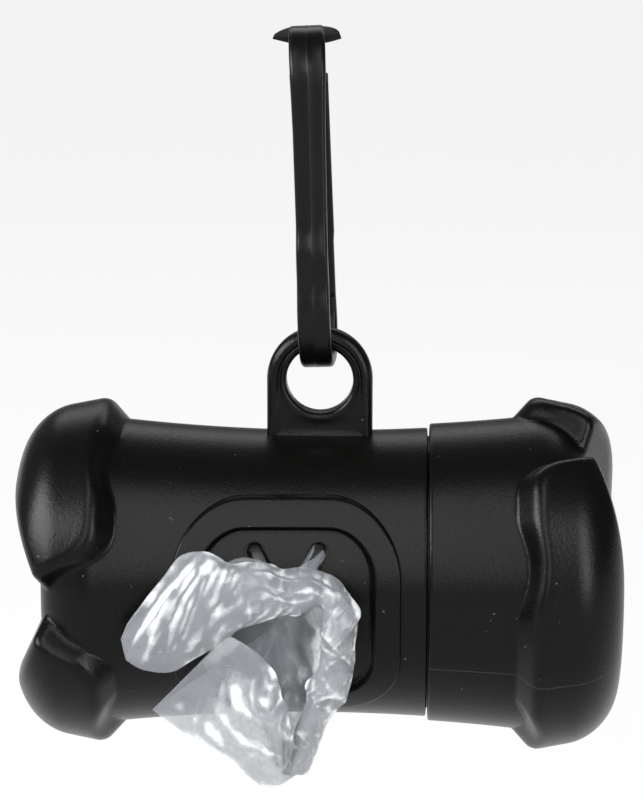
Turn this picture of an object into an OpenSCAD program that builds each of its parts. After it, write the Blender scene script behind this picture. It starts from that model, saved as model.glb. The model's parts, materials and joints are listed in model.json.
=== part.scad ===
// Bone-shaped dog poop bag dispenser with a roll of bags inside and a snap hook.
// X runs along the bone, -Y is the front with the bag slot, +Z is up.
// The origin lies inside the top bend of the hook, where a leash ring hangs.

/* [Bone] */
// Overall length of the bone
bone_l = 82.8; // [78:0.2:92]
// Radius of the barrel at its waist
waist_r = 19.7; // [19.6:0.1:21]
// Radius of the arc that gives the barrel its waist
waist_arc_r = 263; // [200:1:600]
// Place of the joint between body and cap, from the middle of the bone
joint_x = 14.9; // [12:0.1:18]
// Gap that shows between body and cap
joint_gap = 0.25; // [0.1:0.05:0.5]
// How far the cap stands proud of the body
cap_step = 0.55; // [0.2:0.05:1]
// Thickness of the end walls behind the grooves
end_wall = 2.2; // [1.5:0.1:3]

/* [Bone ends] */
// Radius at the crest of the lobes
crest_r = 24.1; // [23.2:0.1:26]
// Distance from the tip to the crest
crest_d = 11.8; // [10:0.1:14]
// Rounding of the crest
crest_round = 0.9; // [0.4:0.1:1.5]
// Radius where the cone of the lobes would meet the flat tip
face_r = 21.8; // [20:0.1:22.5]
// Rounding between the tip and the cone
face_round = 6.7; // [4:0.1:9]
// Slope of the lobes' foot, where they rise from the barrel
foot_slope = 48; // [40:1:60]
// Depth of the channel across the end face
groove_d = 4; // [2.5:0.1:4.5]
// Rounding between the barrel and the channel's floor
shoulder_round = 7.5; // [5:0.5:10]
// Half width of a groove's floor beside the crest
groove_w = 7; // [5:0.1:8]
// Angle at which each side of a groove opens towards the barrel
groove_open = 20; // [12:1:35]
// Lean of the groove's walls away from upright
groove_slope = 46; // [35:1:55]
// Half width of the channel's floor
channel_w = 3.8; // [2.5:0.1:6]
// Lean of the channel's walls away from upright
channel_slope = 64; // [50:1:70]
// Radius of the dents in the lobes' foot
dent_r = 11; // [9:0.5:14]
// Depth of the dents
dent_d = 1.4; // [1:0.1:2.5]
// Slope of the dents' walls
dent_slope = 60; // [50:1:70]
// Angle from a groove to the dents beside it
dent_a = 55; // [50:1:62]
// How far the cap is turned against the body
cap_turn = 71; // [0:1:180]

/* [Roll space] */
// Radius of the space that holds the roll
bore_r = 17.4; // [17:0.1:17.5]
// Length of the space that holds the roll
bore_l = 62; // [61:0.5:66]
// Radius of the hollow in each bone end
hollow_r = 13; // [10:0.5:14]
// Outer radius of the neck that the cap slides on
neck_r = 18.9; // [18.6:0.05:19]
// Length of the neck
neck_l = 9; // [6:0.5:12]
// Radial clearance between neck and cap
neck_fit = 0.08; // [0.05:0.01:0.1]
// Clearance between the neck's end and the cap
neck_end = 0.5; // [0.2:0.1:1]

/* [Slot panel] */
// Place of the panel along the bone
panel_x = -3.9; // [-6:0.1:-2]
// Height of the panel's middle above the bone's axis
panel_shift = 0.25; // [0:0.05:0.5]
// Angle of the panel, below the horizontal
panel_a = -6; // [-12:1:4]
// Width of the raised panel
panel_w = 30.7; // [28:0.1:32]
// Height of the raised panel
panel_h = 30.5; // [28:0.1:31]
// Corner radius of the raised panel
panel_corner = 9.5; // [5:0.5:11]
// How far the panel stands out of the barrel
panel_up = 0.6; // [0.3:0.1:1]
// Width of the recess in the panel
recess_w = 23.2; // [21:0.1:25]
// Height of the recess in the panel
recess_h = 23.4; // [21:0.1:25]
// Corner radius of the recess
recess_corner = 6; // [3:0.5:8]
// Depth of the recess below the barrel's surface
recess_down = 0.5; // [0.2:0.1:0.6]
// Width of the crossed slots
slot_w = 1.7; // [1.4:0.1:2.4]
// Length of each slot
slot_l = 19.6; // [18:0.1:21.8]
// Angle of each slot from the bone's length
slot_a = 61.5; // [55:0.5:75]
// Height of the slots' crossing above the panel's middle
slot_up = 0.95; // [0:0.05:1.5]

/* [Hanging eye] */
// Height of the eye's hole above the bone's axis
eye_h = 27.4; // [26.5:0.1:30]
// Radius of the eye's hole
eye_hole_r = 4.6; // [4.4:0.1:5]
// Outer radius of the eye
eye_r = 7.4; // [7.2:0.1:8.5]
// Thickness of the eye
eye_t = 3.6; // [3:0.1:4]
// Rounding of the eye's edges
eye_round = 1.1; // [0.5:0.1:1.3]
// Thickness of the web under the hole
web_t = 3.2; // [2.5:0.1:3.4]
// How far the eye's legs are sunk into the barrel
eye_sink = 1.2; // [0.8:0.1:2]

/* [Hook] */
// Height of the hook
hook_h = 46.4; // [42:0.1:56]
// Width of the hook's strip
hook_w = 4.6; // [4.2:0.1:5.2]
// Thickness of the hook's strip
hook_t = 2; // [1.8:0.1:2.2]
// Distance between the centre lines of the two legs
hook_gap = 13; // [12:0.1:15]
// Bend radius at the foot, on the centre line
foot_bend = 5.5; // [4:0.1:5.7]
// Bend radius at the top, on the centre line
top_bend = 4.6; // [4:0.1:5.2]
// Clearance between the hook's foot and the eye
foot_fit = 0.3; // [0.2:0.05:0.5]
// Lean of the hook to the left
hook_lean = 1.9; // [0:0.1:6]
// Turn of the hook about its own height
hook_yaw = 0.5; // [0:0.1:6]
// How far the nose comes down behind
nose_drop = 10.6; // [8.5:0.1:11]
// How far the nose stands out beyond the gate's leg
nose_out = 0.8; // [0:0.1:1.2]
// Width of the cross piece on the nose
cross_w = 9.1; // [8:0.1:11]
// Height of the cross piece above its tips
cross_up = 1.3; // [0.8:0.1:2]
// Height of the cross piece below its tips
cross_down = 0.6; // [0.4:0.1:1]
// Thickness of the cross piece, front to back
cross_t = 2.4; // [2:0.1:3.5]
// Height of the cross piece's tips below the top of the hook
cross_drop = 2; // [0.6:0.1:2.4]
// How far the cross piece stands out behind the bend
cross_out = 0.9; // [0.4:0.1:1.2]
// Rounding allowed on the foot's edges where the eye hangs
foot_round = 0.8; // [0.4:0.1:1]

/* [Hook gate] */
// Height of the gate's root above the hook's foot
gate_root = 9; // [8:0.1:12]
// Distance from the top of the hook to the gate's tip
gate_drop = 6.7; // [5.5:0.1:7.5]
// Thickness of the gate
gate_t = 1.6; // [1.2:0.1:1.8]
// Height above its root at which the gate bends back
gate_bow_h = 8; // [6:0.5:12]
// Radius of that bend
gate_bow_r = 30; // [20:1:40]
// Clearance between the gate's tip and the nose
gate_fit = 0.3; // [0.2:0.05:0.5]
// Gap at the gate's root
root_fit = 0.1; // [0.05:0.05:0.2]

/* [Bags] */
// Outer radius of the bag roll
roll_r = 16; // [14:0.1:16.4]
// Length of the bag roll
roll_l = 60; // [50:0.5:60.5]
// Outer radius of the core tube
core_r = 8.5; // [6:0.1:10]
// Wall of the core tube
core_wall = 1; // [0.8:0.1:1.5]
// Clearance between the core tube and the wound film
core_fit = 0.05; // [0.02:0.01:0.1]
// Clearance below the roll where it lies in the barrel
roll_rest = 0.3; // [0.2:0.05:0.5]
// Clearance between the bag's neck and the slot
film_fit = 0.35; // [0.3:0.05:0.5]
// Thickness of the crumpled bag end
film_t = 2.4; // [1.5:0.1:3]
// Distance from the bone's axis to the middle of the bag end
film_out = 27; // [26:0.1:32]
// Length of the bag's neck across the slot
film_neck_l = 15; // [10:0.5:17]
// Width of the pulled-out end, from the left flap to the right band
film_w = 30.5; // [27:0.5:32]

/* [Hidden] */
$fn = 96;

half_l = bone_l / 2;
crest_x = half_l - crest_d;
core_end_x = half_l - groove_d;
cap_x = joint_x + joint_gap;
hollow_end_x = core_end_x - end_wall;
bore_end_x = bore_l / 2;
roll_z = -(bore_r - roll_r - roll_rest);

// Distances from the axis between which the slot panel is cut
panel_near = bore_r / 2;
panel_far = crest_r + 5;

// The two legs of the hook and the foot that carries the eye
leg_y = hook_gap / 2;
foot_reach = eye_hole_r - foot_fit - foot_round;
foot_top = foot_round + sqrt(pow(foot_reach, 2) - pow(hook_w / 2 - foot_round, 2));
foot_z = foot_top - hook_t - pow(eye_t / 2 - 1, 2) / (2 * foot_bend);
nose_y = leg_y + nose_out;
throat_z = foot_z + hook_h - hook_t;

// The hole's centre, seen from the throat of the leaning hook
hole_x = throat_z * sin(hook_lean);
hole_z = -throat_z * cos(hook_lean);
axis_z = hole_z - eye_h;

function unit(v) = v / norm(v);

// Points of the arc that rounds the corner b of the outline a, b, c
function corner(a, b, c, r, n = 8) =
    let (u = unit(a - b), w = unit(c - b), half = acos(u * w) / 2,
         p = b + u * r / tan(half), q = b + w * r / tan(half),
         m = b + unit(u + w) * r / sin(half),
         a0 = atan2(p.y - m.y, p.x - m.x), a1 = atan2(q.y - m.y, q.x - m.x),
         turn = (a1 - a0 + 540) % 360 - 180)
    r <= 0 ? [b] : [for (i = [0 : n]) m + r * [cos(a0 + turn * i / n), sin(a0 + turn * i / n)]];

// A closed outline with its corners rounded
function rounded(pts, radii) =
    let (n = len(pts))
    [for (i = [0 : n - 1]) each corner(pts[(i + n - 1) % n], pts[i], pts[(i + 1) % n], radii[i])];

// The outline of a strip of thickness t whose centre line is the path
function strip(path, t) =
    let (n = len(path),
         side = [for (i = [0 : n - 1])
             let (d = unit(path[min(i + 1, n - 1)] - path[max(i - 1, 0)])) [-d.y, d.x]])
    concat([for (i = [0 : n - 1]) path[i] + side[i] * t / 2],
           [for (i = [n - 1 : -1 : 0]) path[i] - side[i] * t / 2]);

function barrel_r(x) = waist_r + pow(x, 2) / (2 * waist_arc_r);

// The grooves' floor, and the place where the lobes' foot meets it
floor_r = barrel_r(crest_x);
foot_x = crest_x - (crest_r - floor_r) / tan(foot_slope);

// Turns a solid whose own axis is Z so that it lies along X
module along_x() { rotate([0, 90, 0]) children(); }

// Draws in the plane across the bone and extrudes it along X
module across(x0, x1) {
    translate([x0, 0, 0]) rotate([90, 0, 90]) linear_extrude(x1 - x0) children();
}

module rounded_rect(w, h, r) {
    polygon(rounded([[-w / 2, -h / 2], [w / 2, -h / 2], [w / 2, h / 2], [-w / 2, h / 2]], [r, r, r, r]));
}

// The waisted barrel between two places, thicker or thinner by a margin
module barrel(x0, x1, margin = 0) {
    steps = 20;
    along_x() rotate_extrude() polygon(concat([[0, x0]],
        [for (i = [0 : steps]) let (x = x0 + (x1 - x0) * i / steps) [barrel_r(x) + margin, x]],
        [[0, x1]]));
}

// The plain end under the lobes, whose surface is the floor of the grooves
module end_core(x0, margin) {
    r = floor_r + margin;
    along_x() rotate_extrude() polygon(concat(
        [[0, x0], [barrel_r(x0) + margin, x0]],
        corner([r, x0], [r, core_end_x], [0, core_end_x], shoulder_round),
        [[0, core_end_x]]));
}

// The full ring of the lobes, before the grooves are cut
module lobe_ring(margin) {
    inner = [floor_r + margin - tan(foot_slope), foot_x - 1];
    crest = [crest_r + margin, crest_x];
    face = [face_r + margin, half_l];
    along_x() rotate_extrude() polygon(concat(
        [[0, foot_x - 1], inner],
        corner(inner, crest, face, crest_round),
        corner(crest, face, [0, half_l], face_round),
        [[0, half_l]]));
}

// All that lies under one leaning wall of the front groove
module under_wall(margin) {
    reach = 2 * crest_r;
    lean = tan(groove_slope) / norm([tan(groove_open), tan(groove_slope), 1]);
    translate([crest_x, -floor_r - margin, groove_w]) rotate([-asin(lean), groove_open, 0])
        translate([-reach, -reach, -2 * reach]) cube(2 * reach);
}

// Both grooves of a bone end and the channel across its face
module grooves(margin) {
    out = crest_r + margin + groove_d;
    deep = channel_w / tan(channel_slope);
    for (a = [0, 180]) rotate([a, 0, 0]) intersection() {
        under_wall(margin);
        mirror([0, 0, 1]) under_wall(margin);
    }
    translate([core_end_x - deep, out, 0]) rotate([90, 0, 0]) linear_extrude(2 * out)
        polygon([[0, 0], [out, out * tan(channel_slope)], [out, -out * tan(channel_slope)]]);
}

// Dents in the lobes' foot, two on each side of each groove
module dents(margin) {
    below = 2;
    above = crest_r - floor_r + 2;
    for (a = [dent_a, -dent_a, 180 + dent_a, 180 - dent_a]) rotate([-a, 0, 0])
        translate([foot_x + dent_d - dent_r, -floor_r - margin + below, 0]) rotate([90, 0, 0])
            cylinder(r1 = dent_r - below / tan(dent_slope), r2 = dent_r + above / tan(dent_slope),
                     h = below + above);
}

// A whole bone end that points along +X, with its grooves at the front and back
module bone_end(x0, margin) {
    end_core(x0, margin);
    difference() {
        lobe_ring(margin);
        grooves(margin);
        dents(margin);
    }
}

// Extrudes a drawing along the slot panel's normal, between two distances from the axis
module from_panel(near, far) {
    rotate([-panel_a, 0, 0]) translate([panel_x, -near, panel_shift]) rotate([90, 0, 0])
        linear_extrude(far - near) children();
}

// Two crossed slots, drawn flat
module slot_cross(w, l) {
    for (a = [slot_a, -slot_a]) translate([0, slot_up]) rotate(a) {
        square([l - w, w], center = true);
        for (s = [-1, 1]) translate([s * (l - w) / 2, 0]) circle(w / 2, $fn = 32);
    }
}

// The rounded bar that runs round the eye, as a section from the hole outwards
module eye_section() {
    translate([(eye_hole_r + eye_r) / 2, 0]) rounded_rect(eye_r - eye_hole_r, eye_t, eye_round);
}

module hanging_eye() {
    leg = eye_h - waist_r + eye_sink;
    translate([0, 0, eye_h]) difference() {
        union() {
            rotate([90, 0, 0]) rotate_extrude() eye_section();
            for (s = [0, 180]) rotate(s) translate([0, 0, -leg]) linear_extrude(leg) eye_section();
            translate([-(eye_hole_r + eye_r) / 2, -web_t / 2, -leg])
                cube([eye_hole_r + eye_r, web_t, leg]);
        }
        rotate([90, 0, 0]) cylinder(r = eye_hole_r, h = eye_t + 2, center = true);
    }
}

// Places the bone under the hook
module at_bone() { translate([hole_x, 0, axis_z]) children(); }

// Places the hook, whose own zero is the centre of the eye's hole
module at_hook() {
    translate([hole_x, 0, hole_z]) rotate([0, -hook_lean, 0]) rotate([0, 0, -hook_yaw])
        translate([0, 0, foot_z]) children();
}

// The barrel, its left bone end, the eye and the slot panel are one moulding
module dispenser_body() {
    color([0.05, 0.05, 0.05]) at_bone() difference() {
        union() {
            barrel(-crest_x - 1, joint_x);
            mirror([1, 0, 0]) bone_end(crest_x, 0);
            hanging_eye();
            intersection() {
                barrel(-crest_x, joint_x, panel_up);
                from_panel(panel_near, panel_far) rounded_rect(panel_w, panel_h, panel_corner);
            }
            translate([joint_x - 1, 0, 0]) along_x() cylinder(r = neck_r, h = neck_l + 1);
        }
        difference() {
            from_panel(panel_near, panel_far) rounded_rect(recess_w, recess_h, recess_corner);
            barrel(-crest_x, joint_x, -recess_down);
        }
        from_panel(panel_near, panel_far) slot_cross(slot_w, slot_l);
        translate([-bore_end_x, 0, 0]) along_x() cylinder(r = bore_r, h = bore_end_x + cap_x + neck_l);
        translate([-hollow_end_x, 0, 0]) along_x() cylinder(r = hollow_r, h = bone_l / 2);
    }
}

// The right bone end, which slides on the neck of the body
module end_cap() {
    color([0.05, 0.05, 0.05]) at_bone() difference() {
        union() {
            barrel(cap_x, crest_x + 1, cap_step);
            rotate([-cap_turn, 0, 0]) bone_end(crest_x, cap_step);
        }
        translate([cap_x - 1, 0, 0]) along_x()
            cylinder(r = neck_r + neck_fit, h = joint_x + neck_l + neck_end - cap_x + 1);
        translate([cap_x - 1, 0, 0]) along_x() cylinder(r = bore_r, h = bore_end_x - cap_x + 1);
        translate([cap_x, 0, 0]) along_x() cylinder(r = hollow_r, h = hollow_end_x - cap_x);
    }
}

module at_roll() { at_bone() translate([0, 0, roll_z]) along_x() children(); }

module bag_core() {
    color([0.62, 0.5, 0.36]) at_roll() difference() {
        cylinder(r = core_r, h = roll_l, center = true);
        cylinder(r = core_r - core_wall, h = roll_l + 1, center = true);
    }
}

module bag_roll() {
    color([0.72, 0.73, 0.75]) at_roll() difference() {
        cylinder(r = roll_r, h = roll_l, center = true);
        cylinder(r = core_r + core_fit, h = roll_l + 1, center = true);
    }
}

// One fold of the pulled-out bag, drawn from the front in hundredths of the bag's width
module fold(outline, out, tilt_x, tilt_z) {
    translate([panel_x, -out, 0]) rotate([tilt_x, 0, tilt_z]) rotate([90, 0, 0])
        linear_extrude(film_t, center = true) polygon(outline * film_w / 100);
}

module bag_end() {
    upper = [[-69, -6], [-67, -16], [-56, -20], [-44, -18], [-26, -5], [0, 0], [30, 0],
             [31, 13], [25, 21], [13, 26], [-26, 27], [-43, 31], [-51, 20]];
    right = [[2, 8], [31, 10], [30, -16], [25, -33], [13, -59], [8, -69], [-3, -66], [0, -26]];
    lower = [[-33, -13], [-56, -39], [-43, -51], [-10, -72], [3, -69], [13, -26], [8, 6], [-20, 0]];
    color([0.78, 0.79, 0.82]) at_bone() {
        from_panel(bore_r - roll_rest - film_fit, film_out)
            slot_cross(slot_w - 2 * film_fit, film_neck_l);
        fold(upper, film_out, 0, 3);
        fold(right, film_out + 0.8, 3, -4);
        fold(lower, film_out, 4, 2);
    }
}

// Waves of the hook's front leg: height and size of each forward swelling
swellings = [[16.2, 0.9], [8.8, 0.6]];
swelling_w = 2.7;
function swell(z) = [for (s = swellings) s[1] * exp(-pow((z - s[0]) / swelling_w, 2))] * [1, 1];
function waved(p) = [p[0] - swell(p[1]) * max(0, -p[0] / leg_y), p[1]];

// Centre line of the hook, from the gate's root round the foot to the nose
function hook_path() =
    let (foot = hook_t / 2, top = hook_h - hook_t / 2,
         root = [leg_y, gate_root], rear = [leg_y, foot], front = [-leg_y, foot],
         head = [-leg_y, top], nose = [nose_y, top], tip = [nose_y, hook_h - nose_drop],
         z0 = foot + foot_bend + 1, z1 = top - top_bend - 1, steps = 30)
    concat([root], corner(root, rear, front, foot_bend),
           [for (p = corner(rear, front, head, foot_bend)) waved(p)],
           [for (i = [0 : steps]) waved([-leg_y, z0 + (z1 - z0) * i / steps])],
           corner(front, head, nose, top_bend), corner(head, nose, tip, top_bend), [tip]);

module hook() {
    cross_z = hook_h - cross_drop;
    rise = top_bend + hook_t / 2 - cross_drop;
    cross_y = nose_y - top_bend + sqrt(pow(top_bend + hook_t / 2, 2) - pow(rise, 2));
    up_r = (pow(cross_w / 2, 2) + pow(cross_up, 2)) / (2 * cross_up);
    down_r = (pow(cross_w / 2, 2) + pow(cross_down, 2)) / (2 * cross_down);
    color([0.06, 0.06, 0.06]) at_hook() {
        across(-hook_w / 2, hook_w / 2) polygon(strip(hook_path(), hook_t));
        translate([0, cross_y - cross_t + cross_out, cross_z]) rotate([-90, 0, 0]) intersection() {
            translate([0, up_r - cross_up, 0]) cylinder(r = up_r, h = cross_t);
            translate([0, cross_down - down_r, 0]) cylinder(r = down_r, h = cross_t);
        }
    }
}

// The gate springs inwards from its root, where the real clip bends
module hook_gate() {
    tip = [nose_y - hook_t / 2 - gate_fit - gate_t / 2, hook_h - gate_drop];
    root = [leg_y - (hook_t - gate_t) / 2, gate_root + root_fit];
    middle = [leg_y - (hook_t - gate_t) / 2, gate_root + gate_bow_h];
    color([0.06, 0.06, 0.06]) at_hook() across(-hook_w / 2, hook_w / 2)
        polygon(strip(concat([root], corner(root, middle, tip, gate_bow_r, 4), [tip]), gate_t));
}

dispenser_body();
end_cap();
bag_core();
bag_roll();
bag_end();
hook();
hook_gate();
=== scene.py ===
"""A bone-shaped bag dispenser on its snap hook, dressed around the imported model."""
import json
import math

import bpy
import numpy as np
from mathutils import Matrix, Vector


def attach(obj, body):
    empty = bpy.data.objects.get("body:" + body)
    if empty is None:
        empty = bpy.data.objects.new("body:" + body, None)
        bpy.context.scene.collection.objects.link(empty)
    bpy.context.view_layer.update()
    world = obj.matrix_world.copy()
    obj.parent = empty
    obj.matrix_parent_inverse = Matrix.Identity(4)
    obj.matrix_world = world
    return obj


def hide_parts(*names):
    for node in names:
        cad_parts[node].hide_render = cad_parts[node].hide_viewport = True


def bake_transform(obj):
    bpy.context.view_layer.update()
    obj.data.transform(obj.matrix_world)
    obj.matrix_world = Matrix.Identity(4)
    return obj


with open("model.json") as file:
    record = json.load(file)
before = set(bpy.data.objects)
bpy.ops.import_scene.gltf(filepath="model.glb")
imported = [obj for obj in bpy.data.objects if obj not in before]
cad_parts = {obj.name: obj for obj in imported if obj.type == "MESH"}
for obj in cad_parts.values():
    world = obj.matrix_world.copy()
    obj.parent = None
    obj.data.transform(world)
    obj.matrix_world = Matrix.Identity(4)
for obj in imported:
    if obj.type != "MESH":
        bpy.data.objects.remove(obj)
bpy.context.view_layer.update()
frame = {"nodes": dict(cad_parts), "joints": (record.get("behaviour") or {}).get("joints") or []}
bpy.context.scene.view_settings.view_transform = "Standard"

# View: the camera stands in front of the hanging bone, a little to its right, and looks
# slightly down on it. All pieces are placed from the centre of the hanging eye's hole.
MM = 0.001
EYE_H = 27.4
swing = next(j for j in frame["joints"] if j["name"] == "swing")
HOLE = Vector(swing["pos_m"])
BONE = HOLE - Vector((0, 0, EYE_H * MM))

CAMERA_FAR = 400.2 * MM
CAMERA_UP = math.radians(11.6)
CAMERA_RIGHT = math.radians(1.783)
CAMERA_ROLL = math.radians(0.075)
AIM_RIGHT = 0.218
AIM_UP = 24.355
SENSOR_W = 36
LENS = 130.19
aim = BONE + Vector((AIM_RIGHT, 0, AIM_UP)) * MM
back = Vector((math.sin(CAMERA_RIGHT) * math.cos(CAMERA_UP),
               -math.cos(CAMERA_RIGHT) * math.cos(CAMERA_UP),
               math.sin(CAMERA_UP)))
bpy.ops.object.camera_add()
camera = bpy.context.object
turn = (-back).to_track_quat("-Z", "Y").to_matrix().to_4x4()
camera.matrix_world = (Matrix.Translation(aim + back * CAMERA_FAR) @ turn
                       @ Matrix.Rotation(CAMERA_ROLL, 4, "Z"))
camera.data.sensor_width = SENSOR_W
camera.data.lens = LENS
camera.data.clip_start = 10 * MM
bpy.context.scene.camera = camera

# Moulded shell: the barrel, the left bone end and the hollow inside are one black moulding.
# A grid is folded round the bone's axis, from the hollow's pole out over the lobes to the tip.
HALF = 41.4
# The crest of the lobes, their outer face and the slope from the crest down to the barrel
CREST_X = HALF - 11.8
CREST_R = 24.1
CREST_ROUND = 0.9
FACE_R = 21.8
FACE_ROUND = 6.7
FOOT_SLOPE = math.radians(48)
# The groove that parts two lobes, the channel in its floor and the core's round shoulder
GROOVE_W = 7.0
GROOVE_OPEN = math.radians(20)
GROOVE_LEAN = math.radians(46)
GROOVE_BLEND = 3.6
CHANNEL_X = HALF - 4
CHANNEL_W = 3.8
CHANNEL_LEAN = math.radians(64)
CHANNEL_ROUND = 1.2
SHOULDER = 7.5
# The round dents in the foot of each lobe
DENT_R = 11
DENT_D = 1.4
DENT_SLOPE = math.radians(60)
DENT_A = math.radians(55)
DENT_BLEND = 1.5
# The waisted barrel, the joint between the two mouldings and the neck that the cap slides over
WAIST_R = 19.7
WAIST_ARC = 263
JOINT_X = 14.92
NECK_R = 18.9
NECK_L = 9
NECK_EDGE = 0.4
# The rim at the joint is rounded over this much, and half-way round it stands in this far
RIM_EDGE = 0.25
RIM_ROUND = 0.07
# The roll's bore, and the narrower hollow beyond each end of the roll
BORE_R = 17.4
BORE_END = 31
HOLLOW_R = 13
HOLLOW_END = 35.2
HOLLOW_EDGE = 0.5
# The grid: points round the axis, where the rows over the lobes begin, how many there are,
# and the heights over the core at which the lobes' surface is looked for
COLUMNS = 440
LOBES_FROM = 24
ROW_GAP = 0.3
END_ROWS = 110
LOBE_TOP = 9
LOBE_STEPS = 45


def barrel_r(x):
    """Radius of the waisted barrel."""
    return WAIST_R + x ** 2 / (2 * WAIST_ARC)


def rounded_corner(a, b, c, radius, steps):
    """Points of the arc that rounds the corner b."""
    a, b, c = (np.array(p, float) for p in (a, b, c))
    u = (a - b) / np.linalg.norm(a - b)
    w = (c - b) / np.linalg.norm(c - b)
    half = math.acos(np.clip(u @ w, -1, 1)) / 2
    start = b + u * radius / math.tan(half)
    middle = b + (u + w) / np.linalg.norm(u + w) * radius / math.sin(half)
    first = math.atan2(*(start - middle)[::-1])
    end = b + w * radius / math.tan(half)
    sweep = (math.atan2(*(end - middle)[::-1]) - first + 3 * math.pi) % (2 * math.pi) - math.pi
    angles = first + sweep * np.arange(steps + 1) / steps
    return middle + radius * np.stack([np.cos(angles), np.sin(angles)], 1)


def rounded_meet(a, b, radius):
    """Depth inside two solids at once, with the edge between them rounded."""
    over = np.hypot(np.maximum(radius - a, 0), np.maximum(radius - b, 0))
    return np.maximum(radius, np.minimum(a, b)) - over


def blended_least(a, b, width):
    """The lesser of two depths, blended where they are alike."""
    mix = np.clip(0.5 + 0.5 * (b - a) / width, 0, 1)
    return b * (1 - mix) + a * mix - width * mix * (1 - mix)


def lobed_end(step, turned):
    """Places along and off the axis of a bone end whose grooves lie at an angle. Each point of
    the plain core is raised along its normal to the outermost surface of the lobes there."""
    floor = barrel_r(CREST_X) + step
    crest = CREST_R + step
    face = FACE_R + step
    foot_x = CREST_X - (crest - floor) / math.tan(FOOT_SLOPE)
    flat = np.linspace(LOBES_FROM, CREST_X, 12)[:-1]
    shoulder = rounded_corner((CREST_X, floor), (CHANNEL_X, floor), (CHANNEL_X, 0), SHOULDER, 24)
    core = np.concatenate([np.stack([flat, barrel_r(flat) + step], 1), shoulder, [(CHANNEL_X, 0)]])
    along = np.r_[0, np.cumsum(np.linalg.norm(np.diff(core, axis=0), axis=1))]
    even = np.linspace(0, along[-1], END_ROWS)
    x0 = np.interp(even, along, core[:, 0])
    r0 = np.interp(even, along, core[:, 1])
    out_x = np.convolve(np.pad(-np.gradient(r0), 4, "edge"), np.ones(9), "valid")
    out_r = np.convolve(np.pad(np.gradient(x0), 4, "edge"), np.ones(9), "valid")
    size = np.hypot(out_x, out_r)
    x0, r0, out_x, out_r = (v[:, None] for v in (x0, r0, out_x / size, out_r / size))
    around = np.arange(COLUMNS + 1) * 2 * math.pi / COLUMNS
    away = np.arcsin(np.clip(np.abs(np.sin(around - turned)), 0, 1))[None, :]
    cone = math.atan2(crest - face, HALF - CREST_X)
    lean = math.sqrt(1 + math.tan(GROOVE_OPEN) ** 2 + math.tan(GROOVE_LEAN) ** 2)

    def depth(h):
        """How deep in the lobes a point at this height over the core lies."""
        x = x0 + out_x * h
        r = r0 + out_r * h
        under_cone = (crest - r) * math.cos(cone) - (x - CREST_X) * math.sin(cone)
        past_foot = (x - foot_x) * math.sin(FOOT_SLOPE) - (r - floor) * math.cos(FOOT_SLOPE)
        rise = r * np.cos(away) - floor
        wall = (r * np.sin(away) - GROOVE_W - (CREST_X - x) * math.tan(GROOVE_OPEN)
                - rise * math.tan(GROOVE_LEAN)) / lean
        channel = ((r * np.sin(away) - CHANNEL_W) * math.cos(CHANNEL_LEAN)
                   - (x - CHANNEL_X) * math.sin(CHANNEL_LEAN))
        aside = away - DENT_A
        dent = (np.hypot(x - (foot_x + DENT_D - DENT_R), r * np.sin(aside)) - DENT_R
                - (r * np.cos(aside) - floor) / math.tan(DENT_SLOPE)) * math.sin(DENT_SLOPE)
        foot = blended_least(blended_least(dent, past_foot, DENT_BLEND), wall, GROOVE_BLEND)
        top = rounded_meet(under_cone, HALF - x, FACE_ROUND)
        return rounded_meet(rounded_meet(top, foot, CREST_ROUND), channel, CHANNEL_ROUND)

    heights = np.linspace(0, LOBE_TOP, LOBE_STEPS + 1)
    depths = np.array([depth(np.full((END_ROWS, 1), h)) for h in heights])
    last = np.where((depths > 0).any(0), LOBE_STEPS - np.argmax(depths[::-1] > 0, axis=0), -1)
    low = np.clip(last, 0, LOBE_STEPS - 1)
    i, j = np.indices(last.shape)
    d0 = depths[low, i, j]
    d1 = depths[low + 1, i, j]
    h = np.where(last < 0, 0, heights[low] + heights[1] * d0 / np.maximum(d0 - d1, 1e-9))
    return x0 + out_x * h, r0 + out_r * h


def folded_grid(name, places, marks=None, sharp=50):
    """A grid whose points are moved to an array of places in millimetres, with its seams closed.
    Marks are numbers for its points, kept as named attributes."""
    rows, columns = places.shape[:2]
    bpy.ops.object.select_all(action="DESELECT")
    bpy.ops.mesh.primitive_grid_add(x_subdivisions=columns - 1, y_subdivisions=rows - 1, size=1)
    piece = bpy.context.object
    piece.name = name
    flat = np.empty(len(piece.data.vertices) * 3)
    piece.data.vertices.foreach_get("co", flat)
    flat = flat.reshape(-1, 3) + 0.5
    j = np.rint(flat[:, 0] * (columns - 1)).astype(int)
    i = np.rint(flat[:, 1] * (rows - 1)).astype(int)
    piece.data.vertices.foreach_set("co", (places[i, j] * MM).ravel())
    for mark, values in (marks or {}).items():
        attribute = piece.data.attributes.new(mark, "FLOAT", "POINT")
        attribute.data.foreach_set("value", np.broadcast_to(values, places.shape[:2])[i, j].ravel())
    bpy.ops.object.mode_set(mode="EDIT")
    bpy.ops.mesh.select_all(action="SELECT")
    bpy.ops.mesh.remove_doubles(threshold=0.002 * MM)
    bpy.ops.mesh.normals_make_consistent(inside=False)
    bpy.ops.object.mode_set(mode="OBJECT")
    bpy.ops.object.shade_smooth_by_angle(angle=math.radians(sharp))
    return piece


def soften(piece):
    """Takes the last of the steps off a fine mesh."""
    smooth = piece.modifiers.new("soften", "SMOOTH")
    smooth.factor = 0.5
    bpy.context.view_layer.objects.active = piece
    bpy.ops.object.modifier_apply(modifier=smooth.name)


def at_bone(x, front, up):
    """Stacks places in the bone's own frame and moves them to where it hangs."""
    x, front, up = np.broadcast_arrays(x, front, up)
    return np.stack([x, -front, up], -1) + np.array(BONE) / MM


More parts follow.
